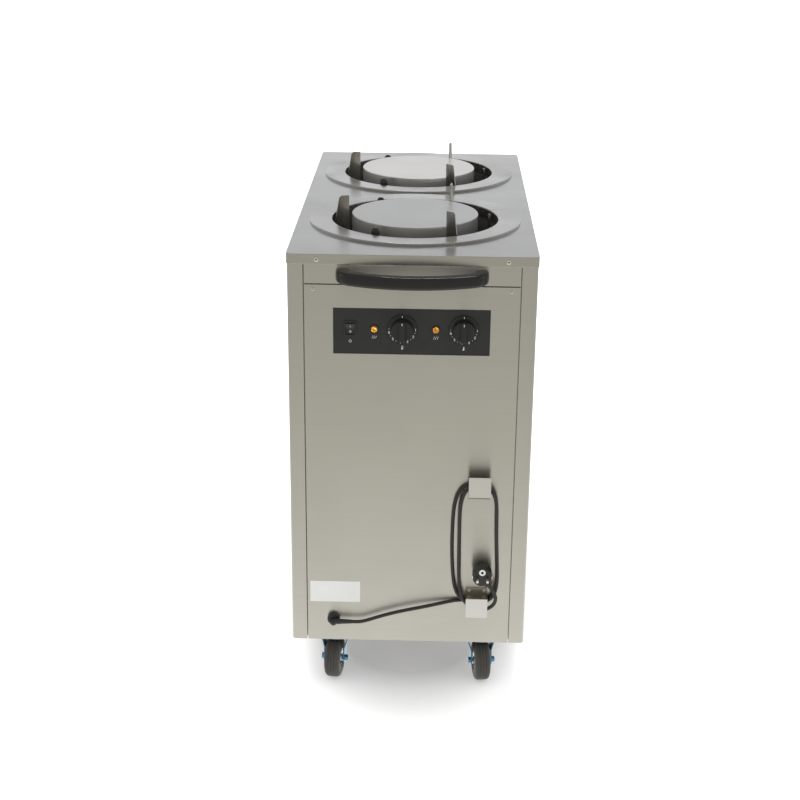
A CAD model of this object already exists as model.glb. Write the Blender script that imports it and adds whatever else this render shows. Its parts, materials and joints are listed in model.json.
"""Looks of the heated plate dispenser cabinet: materials, cord, handle, markings and studio."""
import json
import math

import bmesh
import bpy
from mathutils import Matrix, Vector


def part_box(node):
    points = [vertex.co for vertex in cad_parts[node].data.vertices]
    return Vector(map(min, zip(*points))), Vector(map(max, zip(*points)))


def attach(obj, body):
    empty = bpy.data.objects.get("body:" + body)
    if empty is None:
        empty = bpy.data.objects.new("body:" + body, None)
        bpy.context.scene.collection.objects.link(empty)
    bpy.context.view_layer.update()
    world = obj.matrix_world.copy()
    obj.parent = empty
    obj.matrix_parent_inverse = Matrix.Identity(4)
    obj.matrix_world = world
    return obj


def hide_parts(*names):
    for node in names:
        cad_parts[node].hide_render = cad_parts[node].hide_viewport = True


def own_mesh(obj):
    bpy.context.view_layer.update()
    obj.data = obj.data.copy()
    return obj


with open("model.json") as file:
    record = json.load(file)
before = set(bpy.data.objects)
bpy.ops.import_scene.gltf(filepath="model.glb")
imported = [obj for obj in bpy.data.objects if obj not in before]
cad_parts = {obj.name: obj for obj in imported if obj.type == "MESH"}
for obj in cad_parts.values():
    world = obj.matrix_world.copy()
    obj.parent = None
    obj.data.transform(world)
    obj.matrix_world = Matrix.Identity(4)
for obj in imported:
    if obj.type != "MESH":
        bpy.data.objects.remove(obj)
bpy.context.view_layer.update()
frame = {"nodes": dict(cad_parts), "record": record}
NODES = frame["nodes"]

# Places in metres, the same as in the part's source
FRONT_Y = -0.42555
DECK_Z = 0.875
CONTROL_Z = 0.7365
FASCIA_Y = FRONT_Y + 0.0012
LAMPS_X = (-0.0675, 0.044)
KNOBS_X = (-0.017, 0.0945)
SWITCH_X = -0.111
DIAL_Y = FASCIA_Y - 0.0025
HANDLE_Z = DECK_Z - 0.037
DIAL_R = 0.0241


# ------------------------------------------------------------------ camera

def make_camera():
    forward = Vector((-0.02164516, 0.93640255, -0.35025955))
    right = Vector((0.9996018, 0.0266138, 0.00937786))
    up = right.cross(forward).normalized()
    camera = bpy.data.cameras.new("camera")
    camera.lens = 68.98
    camera.sensor_width = 36.0
    camera.clip_end = 200.0
    obj = bpy.data.objects.new("camera", camera)
    turn = Matrix((right, up, -forward)).transposed().to_4x4()
    obj.matrix_world = Matrix.Translation((0.04124, FRONT_Y - 2.63637, DECK_Z + 0.71186)) @ turn
    bpy.context.scene.collection.objects.link(obj)
    bpy.context.scene.camera = obj


make_camera()


# ------------------------------------------------------------------ mesh helpers

def link(name, mesh, material=None):
    obj = bpy.data.objects.new(name, mesh)
    bpy.context.scene.collection.objects.link(obj)
    if material is not None:
        obj.data.materials.append(material)
    return obj


def mesh_of(name, verts, faces, smooth=True):
    mesh = bpy.data.meshes.new(name)
    mesh.from_pydata([tuple(v) for v in verts], [], faces)
    mesh.update()
    for poly in mesh.polygons:
        poly.use_smooth = smooth
    return mesh


def sweep(path, outline, side):
    """Closed tube: an outline of (u, v) carried along a path without twisting, with flat ends."""
    verts, count = [], len(outline)
    u = Vector(side)
    for i, p in enumerate(path):
        a, b = path[max(i - 1, 0)], path[min(i + 1, len(path) - 1)]
        t = (Vector(b) - Vector(a)).normalized()
        u = (u - u.dot(t) * t).normalized()
        v = t.cross(u)
        verts += [Vector(p) + ou * u + ov * v for ou, ov in outline]
    faces = []
    for i in range(len(path) - 1):
        for k in range(count):
            a, b = i * count + k, i * count + (k + 1) % count
            faces.append((a, b, b + count, a + count))
    faces.append(tuple(reversed(range(count))))
    last = (len(path) - 1) * count
    faces.append(tuple(last + k for k in range(count)))
    return verts, faces


def join(parts):
    verts, faces = [], []
    for v, f in parts:
        base = len(verts)
        verts += v
        faces += [tuple(base + i for i in face) for face in f]
    return verts, faces


def prism(points, y0, y1):
    """Closed solid of an XZ outline between two depths; the outline runs clockwise seen from the front."""
    n = len(points)
    verts = [Vector((x, y0, z)) for x, z in points] + [Vector((x, y1, z)) for x, z in points]
    faces = [tuple(range(n)), tuple(range(2 * n - 1, n - 1, -1))]
    faces += [(i, i + n, (i + 1) % n + n, (i + 1) % n) for i in range(n)]
    return verts, faces


def bar(x, z, w, h, y0, y1, turn=0.0):
    """A small block on the front, turned about its middle."""
    c, s = math.cos(turn), math.sin(turn)
    corners = [(-w / 2, -h / 2), (-w / 2, h / 2), (w / 2, h / 2), (w / 2, -h / 2)]
    return prism([(x + c * a + s * b, z - s * a + c * b) for a, b in corners], y0, y1)


def ring_strip(x, z, r_in, r_out, a0, a1, y0, y1, steps=24):
    """Closed arc on the front; angles run clockwise from 12 o'clock."""
    verts, faces = [], []
    for i in range(steps + 1):
        a = math.radians(a0 + (a1 - a0) * i / steps)
        s, c = math.sin(a), math.cos(a)
        for r, y in ((r_in, y0), (r_out, y0), (r_out, y1), (r_in, y1)):
            verts.append(Vector((x + r * s, y, z + r * c)))
    whole = abs(a1 - a0) > 359.9
    for i in range(steps):
        a, b = 4 * i, 4 * (i + 1)
        for k in range(4):
            faces.append((a + k, b + k, b + (k + 1) % 4, a + (k + 1) % 4))
    if not whole:
        faces += [(0, 1, 2, 3), (4 * steps + 3, 4 * steps + 2, 4 * steps + 1, 4 * steps)]
    return verts, faces


def finish_mesh(obj, merge=True):
    bm = bmesh.new()
    bm.from_mesh(obj.data)
    if merge:
        bmesh.ops.remove_doubles(bm, verts=bm.verts, dist=1e-7)
    bmesh.ops.recalc_face_normals(bm, faces=bm.faces)
    bm.to_mesh(obj.data)
    bm.free()
    return obj


# ------------------------------------------------------------------ materials

def new_material(name):
    mat = bpy.data.materials.new(name)
    mat.use_nodes = True
    tree = mat.node_tree
    shader = tree.nodes["Principled BSDF"]
    return mat, tree, shader


def add(tree, kind, **values):
    node = tree.nodes.new(kind)
    for key, value in values.items():
        if key in node.inputs:
            node.inputs[key].default_value = value
        else:
            setattr(node, key, value)
    return node


def noise(tree, scale_xyz, scale=1.0, detail=3.0, rough=0.5):
    coords = tree.nodes.new("ShaderNodeTexCoord")
    mapping = tree.nodes.new("ShaderNodeMapping")
    mapping.inputs["Scale"].default_value = scale_xyz
    tree.links.new(coords.outputs["Object"], mapping.inputs["Vector"])
    tex = tree.nodes.new("ShaderNodeTexNoise")
    tex.inputs["Scale"].default_value = scale
    tex.inputs["Detail"].default_value = detail
    tex.inputs["Roughness"].default_value = rough
    tree.links.new(mapping.outputs["Vector"], tex.inputs["Vector"])
    return tex.outputs["Fac"]


def ramp(tree, source, low, high, out_low, out_high):
    node = tree.nodes.new("ShaderNodeMapRange")
    node.inputs["From Min"].default_value = low
    node.inputs["From Max"].default_value = high
    node.inputs["To Min"].default_value = out_low
    node.inputs["To Max"].default_value = out_high
    tree.links.new(source, node.inputs["Value"])
    return node.outputs["Result"]


def mix_color(tree, factor, a, b):
    node = tree.nodes.new("ShaderNodeMix")
    node.data_type = "RGBA"
    tree.links.new(factor, node.inputs["Factor"])
    node.inputs["A"].default_value = (*a, 1.0)
    node.inputs["B"].default_value = (*b, 1.0)
    return node.outputs["Result"]


def bump(tree, height, strength, distance, edge=0.0):
    node = tree.nodes.new("ShaderNodeBump")
    node.inputs["Strength"].default_value = strength
    node.inputs["Distance"].default_value = distance
    tree.links.new(height, node.inputs["Height"])
    if edge:
        soft = tree.nodes.new("ShaderNodeBevel")
        soft.samples = 4
        soft.inputs["Radius"].default_value = edge
        tree.links.new(soft.outputs["Normal"], node.inputs["Normal"])
    return node.outputs["Normal"]


def brushed(name, color, grain=(4.0, 4.0, 1500.0), rough=0.3, depth=0.00002, smudge=0.06, edge=0.0006,
            side_color=None, metallic=1.0, aniso=0.0):
    """Stainless sheet: fine parallel grain, faint clouding of the finish and soft folded edges."""
    mat, tree, shader = new_material(name)
    if aniso:
        # Grain that runs round the cabinet spreads reflections up and down
        shader.inputs["Anisotropic"].default_value = aniso
        shader.inputs["Anisotropic Rotation"].default_value = 0.25
        tangent = tree.nodes.new("ShaderNodeTangent")
        tangent.direction_type = "RADIAL"
        tangent.axis = "Z"
        tree.links.new(tangent.outputs["Tangent"], shader.inputs["Tangent"])
    fine = noise(tree, grain, 1.0, 4.0, 0.65)
    clouds = noise(tree, (1.0, 1.0, 1.0), 7.0, 3.0, 0.6)
    tone = ramp(tree, fine, 0.3, 0.7, 0.0, 1.0)
    low = tuple(c * 0.96 for c in color)
    high = tuple(min(1.0, c * 1.03) for c in color)
    base = mix_color(tree, tone, low, high)
    if side_color is not None:
        split = tree.nodes.new("ShaderNodeSeparateXYZ")
        geometry = tree.nodes.new("ShaderNodeNewGeometry")
        tree.links.new(geometry.outputs["Normal"], split.inputs["Vector"])
        both = tree.nodes.new("ShaderNodeMix")
        both.data_type = "RGBA"
        tree.links.new(ramp(tree, split.outputs["Z"], 0.3, 0.9, 0.0, 1.0), both.inputs["Factor"])
        tree.links.new(mix_color(tree, tone, tuple(c * 0.96 for c in side_color), side_color), both.inputs["A"])
        tree.links.new(base, both.inputs["B"])
        base = both.outputs["Result"]
    tree.links.new(base, shader.inputs["Base Color"])
    spread = ramp(tree, clouds, 0.3, 0.7, rough - smudge / 2, rough + smudge / 2)
    tree.links.new(spread, shader.inputs["Roughness"])
    tree.links.new(bump(tree, fine, 0.35, depth, edge), shader.inputs["Normal"])
    shader.inputs["Metallic"].default_value = metallic
    return mat


def plastic(name, color, rough=0.35, grain=900.0, depth=0.00003, strength=0.2, edge=0.0003, coat=0.0, cloud=0.15):
    """Moulded plastic or rubber with a fine surface texture and a little unevenness."""
    mat, tree, shader = new_material(name)
    fine = noise(tree, (1.0, 1.0, 1.0), grain, 2.0, 0.5)
    clouds = noise(tree, (1.0, 1.0, 1.0), 25.0, 3.0, 0.6)
    low = tuple(c * (1 - cloud) for c in color)
    high = tuple(min(1.0, c * (1 + cloud)) for c in color)
    tone = ramp(tree, clouds, 0.3, 0.7, 0.0, 1.0)
    tree.links.new(mix_color(tree, tone, low, high), shader.inputs["Base Color"])
    tree.links.new(ramp(tree, clouds, 0.3, 0.7, rough - 0.04, rough + 0.05), shader.inputs["Roughness"])
    tree.links.new(bump(tree, fine, strength, depth, edge), shader.inputs["Normal"])
    shader.inputs["Coat Weight"].default_value = coat
    shader.inputs["Coat Roughness"].default_value = 0.08
    return mat


STEEL = (0.56, 0.55, 0.52)
MATS = {
    "brushed_skin": brushed("brushed_skin", STEEL, (4.0, 4.0, 1500.0), 0.30, 0.00002, aniso=0.9),
    "deck_steel": brushed("deck_steel", (0.406, 0.410, 0.411), (4.0, 1500.0, 1500.0), 0.22, 0.00001, edge=0.0018,
                          side_color=STEEL),
    "well_steel": brushed("well_steel", (0.68, 0.67, 0.65), (4.0, 900.0, 900.0), 0.34, 0.00001, metallic=0.8),
    "plain_steel": brushed("plain_steel", (0.55, 0.55, 0.54), (60.0, 60.0, 60.0), 0.38, 0.00002),
    "spring_steel": brushed("spring_steel", (0.40, 0.40, 0.39), (300.0, 300.0, 300.0), 0.35),
    "screw_steel": brushed("screw_steel", (0.86, 0.86, 0.85), (200.0, 200.0, 200.0), 0.25, edge=0.0004),
    "heater_steel": brushed("heater_steel", (0.26, 0.24, 0.23), (120.0, 120.0, 120.0), 0.45),
    "caster_zinc": brushed("caster_zinc", (0.09, 0.22, 0.34), (90.0, 90.0, 90.0), 0.24, smudge=0.12, edge=0.0008),
    "rim_steel": brushed("rim_steel", (0.80, 0.84, 0.88), (150.0, 150.0, 150.0), 0.20, edge=0.0005),
    "plug_metal": brushed("plug_metal", (0.80, 0.78, 0.74), (200.0, 200.0, 200.0), 0.16, edge=0.0003),
    "black_plate": plastic("black_plate", (0.0195, 0.0197, 0.0207), 0.42, 1200.0),
    "black_plastic": plastic("black_plastic", (0.022, 0.022, 0.023), 0.40, 1500.0),
    "knob_plastic": plastic("knob_plastic", (0.013, 0.013, 0.0125), 0.34, 1500.0, strength=0.1),
    "handle_plastic": plastic("handle_plastic", (0.008, 0.008, 0.008), 0.12, 500.0, strength=0.04),
    "tyre_rubber": plastic("tyre_rubber", (0.066, 0.060, 0.053), 0.60, 500.0, 0.00012, 0.5, 0.0006),
    "cord_rubber": plastic("cord_rubber", (0.022, 0.021, 0.020), 0.45, 700.0, 0.00004, 0.3, 0.0),
    "plug_rubber": plastic("plug_rubber", (0.024, 0.024, 0.024), 0.40, 900.0, 0.00005, 0.3, 0.0006),
    "label_foil": plastic("label_foil", (0.93, 0.93, 0.90), 0.50, 300.0, 0.00001, 0.1, 0.0, cloud=0.03),
}


def lens_material():
    """Amber lens with a few bright facets."""
    mat, tree, shader = new_material("lens_plastic")
    facets = noise(tree, (1.0, 1.0, 1.0), 260.0, 1.0, 0.5)
    tone = ramp(tree, facets, 0.35, 0.60, 0.0, 1.0)
    tree.links.new(mix_color(tree, tone, (0.42, 0.13, 0.005), (0.90, 0.38, 0.02)), shader.inputs["Base Color"])
    tree.links.new(ramp(tree, facets, 0.3, 0.7, 0.08, 0.2), shader.inputs["Roughness"])
    tree.links.new(bump(tree, facets, 0.5, 0.0006, 0.0), shader.inputs["Normal"])
    shader.inputs["Emission Color"].default_value = (1.0, 0.45, 0.06, 1.0)
    tree.links.new(ramp(tree, facets, 0.56, 0.66, 0.12, 2.2), shader.inputs["Emission Strength"])
    return mat


def print_material():
    mat, tree, shader = new_material("white_print")
    wear = noise(tree, (1.0, 1.0, 1.0), 900.0, 3.0, 0.6)
    tone = ramp(tree, wear, 0.3, 0.6, 0.0, 1.0)
    tree.links.new(mix_color(tree, tone, (0.66, 0.66, 0.64), (0.82, 0.82, 0.80)), shader.inputs["Base Color"])
    shader.inputs["Roughness"].default_value = 0.5
    return mat


def hook_material():
    """Bright brushed lip on a duller foot and arm."""
    mat, tree, shader = new_material("hook_steel")
    coords = tree.nodes.new("ShaderNodeTexCoord")
    split = tree.nodes.new("ShaderNodeSeparateXYZ")
    tree.links.new(coords.outputs["Object"], split.inputs["Vector"])
    lip = ramp(tree, split.outputs["Y"], FRONT_Y - 0.0205, FRONT_Y - 0.0225, 0.0, 1.0)
    tree.links.new(mix_color(tree, lip, (0.34, 0.315, 0.28), (0.65, 0.65, 0.64)), shader.inputs["Base Color"])
    fine = noise(tree, (4.0, 4.0, 1500.0), 1.0, 4.0, 0.65)
    tree.links.new(ramp(tree, fine, 0.3, 0.7, 0.30, 0.38), shader.inputs["Roughness"])
    tree.links.new(bump(tree, fine, 0.35, 0.00002, 0.0006), shader.inputs["Normal"])
    shader.inputs["Metallic"].default_value = 1.0
    return mat


MATS["lens_plastic"] = lens_material()
PRINT = print_material()
SLEEVE = brushed("sleeve_steel", (0.34, 0.332, 0.316), (4.0, 4.0, 900.0), 0.36, metallic=0.85)
RAIL = brushed("rail_steel", (0.12, 0.118, 0.112), (4.0, 4.0, 900.0), 0.40)
GUIDE = brushed("guide_steel", (0.46, 0.445, 0.415), (900.0, 900.0, 4.0), 0.26)
LIP = hook_material()
PLATFORM = brushed("platform_steel", (0.450, 0.455, 0.455), (4.0, 1500.0, 1500.0), 0.34, metallic=0.8,
                   side_color=(0.62, 0.61, 0.59))
RING = brushed("ring_steel", (0.47, 0.472, 0.465), (4.0, 1500.0, 1500.0), 0.24, smudge=0.14, edge=0.001)

SPECIAL = (("front_platform", PLATFORM), ("well_ring", RING), ("well_sleeve", SLEEVE), ("_guide_", GUIDE),
           ("carriage_rails", RAIL), ("cord_hook", LIP))
SLOT_OF = {row["node"]: row["material_slot"] for row in frame["record"]["subparts"]}
for node_name, node_obj in NODES.items():
    node_obj.data.materials.clear()
    chosen = [mat for key, mat in SPECIAL if key in node_name]
    node_obj.data.materials.append(chosen[0] if chosen else MATS[SLOT_OF[node_name]])


# ------------------------------------------------------------------ mains cord

def curve_points(controls, steps):
    """The smooth path of a list of control points, with a number of steps for each."""
    out = []
    for i in range(len(controls) - 3):
        c = [Vector(p) for p in controls[i:i + 4]]
        for k in range(steps + (i == len(controls) - 4)):
            s = k / steps
            w = ((1 - s) ** 3, 3 * s ** 3 - 6 * s * s + 4, -3 * s ** 3 + 3 * s * s + 3 * s + 1, s ** 3)
            out.append(sum((w[j] * c[j] for j in range(4)), Vector()) / 6)
    return out


def on_front(p):
    return Vector((p[0] / 1000, FRONT_Y - p[1] / 1000, DECK_Z - p[2] / 1000))


def along(t):
    """A place on the way from the gland's end of the lead to the hooks' end."""
    return -88 * (1 - t) + 65 * t


LEAD = [(-116, 14, 728), (-102, 14, 728), (along(0), 14, 728), (along(0.183), 14, 717), (along(0.444), 14, 704),
        (along(0.739), 14, 694), (along(1), 9, 686), (90, 4, 682), (108, 4, 681), (124, 4, 681)]
TURN = [(5, 683, 0), (29.5, 676, 0), (39, 649, 0), (38, 612, 0), (35, 560, 0), (33.5, 508, 0), (33.5, 472, 0),
        (23, 443, 1), (-6, 432.5, 5), (-35, 443, 9), (-47, 476, 11), (-49, 520, 13), (-49.5, 570, 14),
        (-47, 620, 12), (-43, 656, 9), (-27, 681, 4)]


def turn_point(k, i):
    p = TURN[i]
    return (131 + p[0] + k * p[2], 4 + 7.6 * (k + max(0, i - 10) / 5), p[1])


WINDING = ([(106, 4, 680), (121, 4, 681)] + [turn_point(k, i) for k in range(2) for i in range(16)]
           + [(133, 19.2, 694.5), (154.5, 19.2, 692.5), (168.5, 21.5, 676.5), (166.5, 24.5, 655.5), (151, 25, 641.5)])
ROUTE = [Vector((-109, 14, 728))] + curve_points(LEAD, 6) + [Vector((115, 4, 681.17))]
ROUTE += curve_points(WINDING, 8) + [Vector((159.5, 25, 647))]
ROUTE = [on_front(p) for p in ROUTE]
CORD_R = 0.0035


def make_cord():
    curve = bpy.data.curves.new("mains_cord", "CURVE")
    curve.dimensions = "3D"
    curve.bevel_depth = CORD_R
    curve.bevel_resolution = 5
    curve.use_fill_caps = True
    spline = curve.splines.new("POLY")
    spline.points.add(len(ROUTE) - 1)
    for point, co in zip(spline.points, ROUTE):
        point.co = (*co, 1.0)
    obj = link("mains_cord", curve, MATS["cord_rubber"])
    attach(obj, "cabinet")
    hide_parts("cord_lead", "cord_winding")
    return obj


make_cord()


# ------------------------------------------------------------------ push handle

def make_handle():
    foot, bend_r, span, depth = 0.0026, 0.028, 0.250, 0.024
    mid = 0.062 - depth / 2
    side, rise = span / 2 - bend_r, mid - foot
    bow_r = (side ** 2 + rise ** 2 - bend_r ** 2) / (2 * (rise - bend_r))
    half = math.asin(side / (bow_r - bend_r))
    left = []
    for k in range(13):
        h = math.pi / 2 - (math.pi / 2 - half) * k / 12
        left.append((-span / 2 + bend_r * (1 - math.sin(h)), -foot - bend_r * math.cos(h)))
    bow = []
    for k in range(1, 48):
        a = -half + 2 * half * k / 48
        bow.append((bow_r * math.sin(a), -mid + bow_r * (1 - math.cos(a))))
    right = [(-x, y) for x, y in reversed(left)]
    flat = [(-span / 2, 0.0)] + left + bow + right + [(span / 2, 0.0)]
    path = [Vector((x, FRONT_Y + y, HANDLE_Z)) for x, y in flat]
    outline = []
    for k in range(48):
        a = 2 * math.pi * (k + 0.5) / 48
        c, s = math.cos(a), math.sin(a)
        outline.append((math.copysign(abs(c) ** 0.55, c) * 0.012, math.copysign(abs(s) ** 0.55, s) * 0.012))
    verts, faces = sweep(path, outline, (0, 0, 1))
    obj = finish_mesh(link("push_handle_grip", mesh_of("push_handle_grip", verts, faces), MATS["handle_plastic"]))
    for poly in obj.data.polygons:
        poly.use_smooth = len(poly.vertices) == 4
    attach(obj, "cabinet")
    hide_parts("push_handle")


make_handle()


# ------------------------------------------------------------------ lift springs

SPRING_LOW, SPRING_HIGH, SPRING_TRAVEL = 0.2362, 0.837, 0.430
SPRING_TURNS, SPRING_R, WIRE_R = 12, 0.045, 0.003


def make_spring(well, y):
    """Round-wire spring that shortens as its platform sinks."""
    steps = 24
    count = SPRING_TURNS * steps
    low, high = SPRING_LOW + WIRE_R, SPRING_HIGH - WIRE_R
    path = []
    for i in range(count + 1):
        a = 2 * math.pi * i / steps
        path.append(Vector((SPRING_R * math.cos(a), y + SPRING_R * math.sin(a), low + (high - low) * i / count)))
    outline = [(WIRE_R * math.cos(math.pi * k / 5), WIRE_R * math.sin(math.pi * k / 5)) for k in range(10)]
    name = well + "_lift_spring"
    verts, faces = sweep(path, outline, (1, 0, 0))
    obj = finish_mesh(link(name, mesh_of(name, verts, faces), MATS["spring_steel"]))
    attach(obj, "cabinet")
    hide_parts(well + "_spring")
    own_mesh(obj)


make_spring("front", -0.15955)
make_spring("rear", 0.26545)


# ------------------------------------------------------------------ markings

def marks(name, parts, body, material=PRINT):
    verts, faces = join(parts)
    obj = finish_mesh(link(name, mesh_of(name, verts, faces, False), material), False)
    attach(obj, body)
    return obj


SEGMENTS = {"0": "abcdef", "1": "bc", "2": "abged", "3": "abgcd", "4": "fgbc", "5": "afgcd", "6": "afgedc"}


def digit(char, x, z, h, y0, y1, turn):
    """A plain number made of short strokes, turned about its middle."""
    w, t = h * 0.52, h * 0.20
    place = {"a": (0, h / 2, w, t), "g": (0, 0, w, t), "d": (0, -h / 2, w, t),
             "f": (-w / 2, h / 4, t, h / 2), "b": (w / 2, h / 4, t, h / 2),
             "e": (-w / 2, -h / 4, t, h / 2), "c": (w / 2, -h / 4, t, h / 2)}
    if char == "1":
        place = {"b": (0, h / 4, t, h / 2 + t), "c": (0, -h / 4, t, h / 2 + t)}
    c, s = math.cos(turn), math.sin(turn)
    out = []
    for i, key in enumerate(SEGMENTS[char]):
        dx, dz, sw, sh = place[key]
        out.append(bar(x + c * dx + s * dz, z - s * dx + c * dz, sw, sh, y0 - i * 1e-6, y1, turn))
    return out


def dial_marks(name, x):
    y0, y1 = DIAL_Y - 0.00012, DIAL_Y + 0.0004
    parts = [bar(x, CONTROL_Z + 0.0242, 0.0012, 0.0034, y0, y1)]
    for i, a in enumerate((90, 123, 157, 190, 224, 257)):
        r = math.radians(a)
        parts += digit(str(i + 1), x + DIAL_R * math.sin(r), CONTROL_Z + DIAL_R * math.cos(r), 0.0042, y0, y1, 0.0)
    for a in (106, 140, 174, 207, 241, 273):
        r = math.radians(a)
        parts.append(bar(x + DIAL_R * math.sin(r), CONTROL_Z + DIAL_R * math.cos(r), 0.0010, 0.0014, y0, y1, r))
    return marks(name, parts, "cabinet")


dial_marks("front_dial_marks", KNOBS_X[0])
dial_marks("rear_dial_marks", KNOBS_X[1])


def fascia_symbols():
    """Plain pictograms: a mains symbol, rising heat under each lamp and a thermometer under each dial."""
    y0, y1 = FASCIA_Y - 0.00008, FASCIA_Y + 0.0003
    parts = []
    z = CONTROL_Z - 0.0235
    parts.append(ring_strip(SWITCH_X, z, 0.0020, 0.0027, 40, 320, y0, y1))
    parts.append(bar(SWITCH_X, z + 0.0018, 0.0007, 0.0030, y0 - 1e-6, y1))
    for x in LAMPS_X:
        z = CONTROL_Z - 0.0155
        for dx in (-0.0032, 0.0, 0.0032):
            for i, side in enumerate((1, -1)):
                a0 = (20, 160) if side > 0 else (200, 340)
                parts.append(ring_strip(x + dx - side * 0.0004, z + side * 0.0014, 0.0010, 0.0016, *a0,
                                        y0 - i * 1e-6, y1, 8))
    for x in KNOBS_X:
        z = CONTROL_Z - 0.0350
        parts.append(ring_strip(x, z - 0.0018, 0.0, 0.0016, 0, 360, y0, y1, 20))
        parts.append(bar(x, z + 0.0012, 0.0012, 0.0052, y0 - 1e-6, y1))
        for k in range(3):
            parts.append(bar(x + 0.0018, z + 0.0002 + 0.0014 * k, 0.0012, 0.0005, y0, y1))
    return marks("fascia_symbols", parts, "cabinet")


fascia_symbols()


def knob_pointer(name, x, body):
    y = DIAL_Y - 0.0006 - 0.018
    return marks(name, [bar(x, CONTROL_Z + 0.0150, 0.0013, 0.0048, y + 0.00038, y + 0.0006)], body)


knob_pointer("front_knob_pointer", KNOBS_X[0], "front_well_knob")
knob_pointer("rear_knob_pointer", KNOBS_X[1], "rear_well_knob")


def rocker_marks():
    """I and O on the rocker's two halves, which lean 8 degrees with it."""
    parts = [bar(0, 0.0046, 0.0008, 0.0036, -0.00012, 0.0002),
             ring_strip(0, -0.0052, 0.0012, 0.0019, 0, 360, -0.00012, 0.0002, 24)]
    verts, faces = join(parts)
    pivot = Vector((SWITCH_X, FASCIA_Y + 0.003, CONTROL_Z))
    tilt = math.radians(8)
    slope = math.atan2(2.2, 10.65)
    out = []
    for v in verts:
        y, z = -0.0024 - abs(v.z) * math.tan(slope) + v.y, v.z
        out.append(pivot + Vector((v.x, y * math.cos(tilt) - z * math.sin(tilt),
                                   y * math.sin(tilt) + z * math.cos(tilt))))
    obj = finish_mesh(link("rocker_marks", mesh_of("rocker_marks", out, faces, False), PRINT), False)
    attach(obj, "switch_rocker")


rocker_marks()


def turned(x, y, z, profile, steps=32):
    """Closed solid of a profile of (radius, depth) pairs, turned about a line along Y; both ends lie on it."""
    verts, faces = [], []
    count = len(profile)
    for k in range(steps):
        a = 2 * math.pi * k / steps
        verts += [Vector((x + r * math.sin(a), y + d, z + r * math.cos(a))) for r, d in profile]
    for k in range(steps):
        a, b = k * count, (k + 1) % steps * count
        faces += [(a + i, a + i + 1, b + i + 1, b + i) for i in range(count - 1)]
    return verts, faces


def screw_caps():
    """Domed heads with a dark socket on the screws of the front."""
    caps, sockets = [], []
    for x, y, z, r in ([(x, FRONT_Y - 0.0013, DECK_Z - 0.0095, 0.0040) for x in (-0.171, 0.171)]
                       + [(x, FRONT_Y, DECK_Z - 0.065, 0.0022) for x in (-0.178, 0.178)]):
        hole = (0.36 if r > 0.003 else 0.52) * r
        caps.append(turned(x, y, z, [(0.0, -0.0019), (hole, -0.0019), (hole, -0.0024), (0.75 * r, -0.00235),
                                     (r + 0.0001, -0.0019), (r + 0.0004, -0.0011), (r + 0.0004, 0.0), (0.0, 0.0)]))
        sockets.append(ring_strip(x, z, 0.0, hole * 0.95, 0, 360, y - 0.0020, y - 0.0018))
    marks("screw_caps", caps, "cabinet", MATS["plug_metal"])
    marks("screw_sockets", sockets, "cabinet", MATS["black_plastic"])


screw_caps()


def plug_inlay():
    """Light ring round the earth hole and the shoulders of the two pins."""
    x, y, z = 0.140, FRONT_Y - 0.025 - 0.012, DECK_Z - 0.616
    parts = [ring_strip(x, z + 0.010, 0.0026, 0.0062, 0, 360, y - 0.0003, y + 0.0002)]
    marks("plug_inlay", parts, "cabinet", MATS["label_foil"])
    collars = [ring_strip(x + s * 0.0095, z, 0.0025, 0.0038, 0, 360, y - 0.0008, y + 0.0002) for s in (-1, 1)]
    marks("plug_collars", collars, "cabinet", MATS["plug_rubber"])


plug_inlay()


# ------------------------------------------------------------------ tyres

def make_tyre(node, turn):
    """Tyre with a ribbed tread, on the wheel's own axle."""
    low, high = (Vector(v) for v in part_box(node))
    middle = (low + high) / 2
    radius, half = high.z - middle.z, TYRE_W / 2
    rim = RIM_D / 2
    groove = 0.0012
    profile = [(rim, -half + 0.0008), (rim + 0.0008, -half), (radius - 0.008, -half),
               (radius - 0.0035, -half + 0.0016), (radius - 0.0008, -half + 0.0050)]
    for at in (-0.0055, 0.0, 0.0055):
        profile += [(radius - 0.0002, at - 0.0010), (radius - groove, at - 0.0006),
                    (radius - groove, at + 0.0006), (radius - 0.0002, at + 0.0010)]
    profile += [(radius - 0.0008, half - 0.0050), (radius - 0.0035, half - 0.0016), (radius - 0.008, half),
                (rim + 0.0008, half), (rim, half - 0.0008)]
    count, steps = len(profile), 72
    axle = Vector((math.cos(turn), math.sin(turn), 0))
    ahead = Vector((-math.sin(turn), math.cos(turn), 0))
    verts, faces = [], []
    for k in range(steps):
        a = 2 * math.pi * k / steps
        out = math.cos(a) * ahead + math.sin(a) * Vector((0, 0, 1))
        verts += [middle + r * out + w * axle for r, w in profile]
    for k in range(steps):
        a, b = k * count, (k + 1) % steps * count
        faces += [(a + i, a + (i + 1) % count, b + (i + 1) % count, b + i) for i in range(count)]
    piece = finish_mesh(link(node + "_tread", mesh_of(node + "_tread", verts, faces), MATS["tyre_rubber"]))
    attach(piece, node.replace("_tyre", "_wheel"))
    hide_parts(node)


TYRE_W, RIM_D = 0.030, 0.038
for place, degrees in (("front_left", -8.5), ("front_right", 7.5), ("rear_left", 4.0), ("rear_right", -6.0)):
    make_tyre(place + "_tyre", math.radians(degrees))


# ------------------------------------------------------------------ studio

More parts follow.
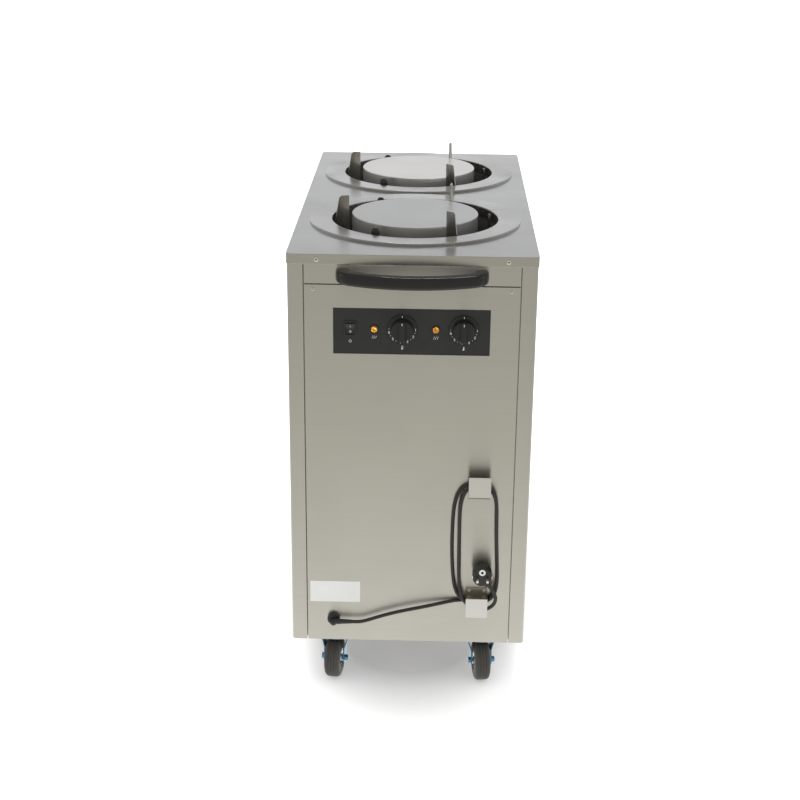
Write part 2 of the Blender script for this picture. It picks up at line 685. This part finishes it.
def make_floor():
    mesh = mesh_of("floor", [(-60, -60, 0), (60, -60, 0), (60, 60, 0), (-60, 60, 0)], [(0, 1, 2, 3)], False)
    mat = bpy.data.materials.new("floor")
    mat.use_nodes = True
    tree = mat.node_tree
    tree.nodes.clear()
    out = tree.nodes.new("ShaderNodeOutputMaterial")
    matte = add(tree, "ShaderNodeBsdfDiffuse", Color=(0.80, 0.80, 0.80, 1.0))
    coords = tree.nodes.new("ShaderNodeTexCoord")
    length = tree.nodes.new("ShaderNodeVectorMath")
    length.operation = "LENGTH"
    tree.links.new(coords.outputs["Object"], length.inputs[0])
    # The lift follows the cabinet's footprint, low under it so that its shadow stays
    stretched = tree.nodes.new("ShaderNodeVectorMath")
    stretched.operation = "MULTIPLY"
    stretched.inputs[1].default_value = (2.0, 1.0, 1.0)
    tree.links.new(coords.outputs["Object"], stretched.inputs[0])
    around = tree.nodes.new("ShaderNodeVectorMath")
    around.operation = "LENGTH"
    tree.links.new(stretched.outputs[0], around.inputs[0])
    rays = tree.nodes.new("ShaderNodeLightPath")
    seen = tree.nodes.new("ShaderNodeMath")
    seen.operation = "MAXIMUM"
    tree.links.new(rays.outputs["Is Camera Ray"], seen.inputs[0])
    tree.links.new(rays.outputs["Is Transmission Ray"], seen.inputs[1])
    lift = add(tree, "ShaderNodeEmission", Color=(1.0, 1.0, 1.0, 1.0))
    strength = tree.nodes.new("ShaderNodeMath")
    strength.operation = "MULTIPLY"
    whole = tree.nodes.new("ShaderNodeMath")
    whole.operation = "ADD"
    tree.links.new(ramp(tree, around.outputs["Value"], 0.38, 0.56, 0.06, 0.50), whole.inputs[0])
    tree.links.new(ramp(tree, around.outputs["Value"], 0.56, 2.6, 0.0, 0.50), whole.inputs[1])
    tree.links.new(whole.outputs[0], strength.inputs[1])
    tree.links.new(seen.outputs[0], strength.inputs[0])
    tree.links.new(strength.outputs[0], lift.inputs["Strength"])
    both = tree.nodes.new("ShaderNodeAddShader")
    tree.links.new(matte.outputs[0], both.inputs[0])
    tree.links.new(lift.outputs[0], both.inputs[1])
    # What metal sees of the floor: white near the cabinet, dimmer and warmer further off
    tones = tree.nodes.new("ShaderNodeValToRGB")
    tree.links.new(ramp(tree, length.outputs["Value"], 0.0, 5.0, 0.0, 1.0), tones.inputs["Fac"])
    stops = [(0.086, (1.00, 0.985, 0.95)), (0.124, (0.95, 0.936, 0.888)), (0.18, (0.877, 0.85, 0.783)),
             (0.366, (0.560, 0.553, 0.491)), (0.56, (0.469, 0.463, 0.409)), (1.0, (0.424, 0.415, 0.364))]
    for i, (position, tone) in enumerate(stops):
        element = tones.color_ramp.elements[i] if i < 2 else tones.color_ramp.elements.new(position)
        element.position, element.color = position, (*tone, 1.0)
    mirrored = add(tree, "ShaderNodeEmission", Strength=1.18)
    tree.links.new(tones.outputs["Color"], mirrored.inputs["Color"])
    choose = tree.nodes.new("ShaderNodeMixShader")
    tree.links.new(rays.outputs["Is Glossy Ray"], choose.inputs[0])
    tree.links.new(both.outputs[0], choose.inputs[1])
    tree.links.new(mirrored.outputs[0], choose.inputs[2])
    tree.links.new(choose.outputs[0], out.inputs["Surface"])
    floor = link("floor", mesh, mat)


def make_world():
    """Plain white room. Metal sees it white low down behind, and dimmer higher up and in front."""
    world = bpy.data.worlds.new("studio")
    bpy.context.scene.world = world
    world.use_nodes = True
    tree = world.node_tree
    tree.nodes.clear()
    out = tree.nodes.new("ShaderNodeOutputWorld")
    background = tree.nodes.new("ShaderNodeBackground")
    coords = tree.nodes.new("ShaderNodeTexCoord")
    split = tree.nodes.new("ShaderNodeSeparateXYZ")
    tree.links.new(coords.outputs["Generated"], split.inputs["Vector"])
    rays = tree.nodes.new("ShaderNodeLightPath")
    height = tree.nodes.new("ShaderNodeValToRGB")
    height.color_ramp.elements[0].position = 0.0
    height.color_ramp.elements[0].color = (1.0, 1.0, 1.0, 1.0)
    height.color_ramp.elements[1].position = 1.0
    height.color_ramp.elements[1].color = (0.32, 0.32, 0.33, 1.0)
    for position, value in ((0.21, (1.0, 1.0, 1.0)), (0.31, (0.80, 0.80, 0.81)), (0.42, (0.28, 0.28, 0.29))):
        element = height.color_ramp.elements.new(position)
        element.color = (*value, 1.0)
    tree.links.new(split.outputs["Z"], height.inputs["Fac"])
    side = ramp(tree, split.outputs["Y"], -0.5, 0.3, 1.0, 0.0)
    front = tree.nodes.new("ShaderNodeMix")
    front.data_type = "RGBA"
    tree.links.new(side, front.inputs["Factor"])
    tree.links.new(height.outputs["Color"], front.inputs["A"])
    front.inputs["B"].default_value = (0.50, 0.48, 0.42, 1.0)
    is_glossy = tree.nodes.new("ShaderNodeMix")
    is_glossy.data_type = "RGBA"
    tree.links.new(rays.outputs["Is Glossy Ray"], is_glossy.inputs["Factor"])
    is_glossy.inputs["A"].default_value = (0.80, 0.80, 0.80, 1.0)
    tree.links.new(front.outputs["Result"], is_glossy.inputs["B"])
    is_camera = tree.nodes.new("ShaderNodeMix")
    is_camera.data_type = "RGBA"
    tree.links.new(rays.outputs["Is Camera Ray"], is_camera.inputs["Factor"])
    tree.links.new(is_glossy.outputs["Result"], is_camera.inputs["A"])
    is_camera.inputs["B"].default_value = (1.0, 1.0, 1.0, 1.0)
    tree.links.new(is_camera.outputs["Result"], background.inputs["Color"])
    tree.links.new(background.outputs[0], out.inputs["Surface"])


def area_light(name, place, target, size, power, color=(1.0, 1.0, 1.0)):
    light = bpy.data.lights.new(name, "AREA")
    light.shape = "RECTANGLE"
    light.size, light.size_y = size
    light.energy = power
    light.color = color
    obj = bpy.data.objects.new(name, light)
    obj.location = place
    obj.rotation_euler = (Vector(target) - Vector(place)).to_track_quat("-Z", "Y").to_euler()
    bpy.context.scene.collection.objects.link(obj)
    return obj


make_floor()
make_world()
# Metal does not mirror this lamp, so the deck keeps its colour from above
area_light("top_light", (-0.6, 1.2, 4.2), (0, 0, 0.4), (3.5, 3.0), 110).visible_glossy = False
area_light("strip_light", (0.3, 0.8, 3.6), (0, 0, 0.4), (1.6, 0.12), 20)
bpy.context.scene.view_settings.view_transform = "Standard"
